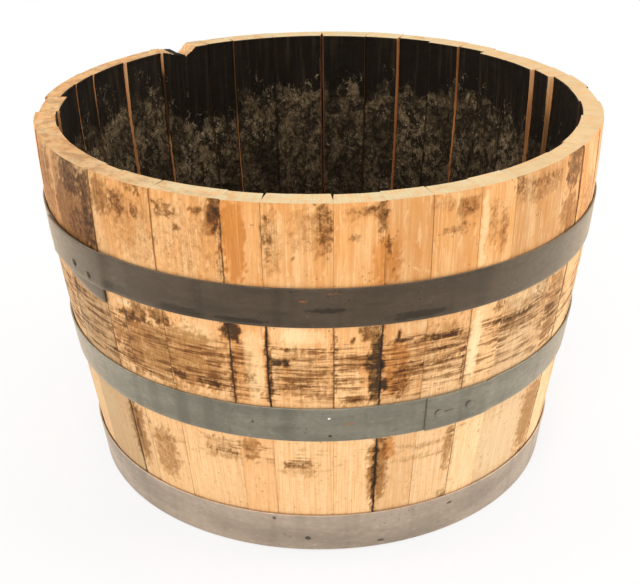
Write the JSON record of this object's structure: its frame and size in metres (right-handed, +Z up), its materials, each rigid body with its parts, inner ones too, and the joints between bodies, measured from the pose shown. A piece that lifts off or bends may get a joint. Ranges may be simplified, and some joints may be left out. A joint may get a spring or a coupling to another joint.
{
  "type": "barrel planter",
  "caption": "Half of a coopered oak whiskey barrel on its head end: bulging staves, charred inside, flat steel hoops, open top.",
  "frame": {"origin": "centre of the tub's footprint, on the floor it stands on", "axes": "+Z up along the tub's own axis, head end down and open end up; -Y faces the viewer of the picture, +X is the viewer's right"},
  "size_m": [0.6591, 0.6591, 0.438],
  "materials": {
    "oak": "weathered bare white oak outside with brown stains, pale sawn rim, charred black inside",
    "charred_oak": "oak head boards, charred inside and bare outside",
    "bilge_steel": "dark brown-black oxidised strip",
    "quarter_steel": "grey-green dulled galvanised strip",
    "head_steel": "warm light grey strip with dark specks"
  },
  "bodies": {
    "root": {"stave_01": "oak", "stave_02": "oak", "stave_03": "oak", "stave_04": "oak", "stave_05": "oak", "stave_06": "oak", "stave_07": "oak", "stave_08": "oak", "stave_09": "oak", "stave_10": "oak", "stave_11": "oak", "stave_12": "oak", "stave_13": "oak", "stave_14": "oak", "stave_15": "oak", "stave_16": "oak", "stave_17": "oak", "stave_18": "oak", "stave_19": "oak", "stave_20": "oak", "stave_21": "oak", "stave_22": "oak", "stave_23": "oak", "stave_24": "oak", "stave_25": "oak", "stave_26": "oak", "stave_27": "oak", "stave_28": "oak", "stave_29": "oak", "stave_30": "oak", "stave_31": "oak", "stave_32": "oak", "stave_33": "oak", "stave_34": "oak", "stave_35": "oak", "stave_36": "oak", "head_board_1": "charred_oak", "head_board_2": "charred_oak", "head_board_3": "charred_oak", "head_board_4": "charred_oak", "head_board_5": "charred_oak", "head_board_6": "charred_oak", "bilge_hoop": "bilge_steel", "bilge_rivet_1": "bilge_steel", "bilge_rivet_2": "bilge_steel", "quarter_hoop": "quarter_steel", "quarter_rivet_1": "quarter_steel", "quarter_rivet_2": "quarter_steel", "head_hoop": "head_steel", "head_rivet_1": "head_steel", "head_rivet_2": "head_steel"}
  },
  "joints": []
}
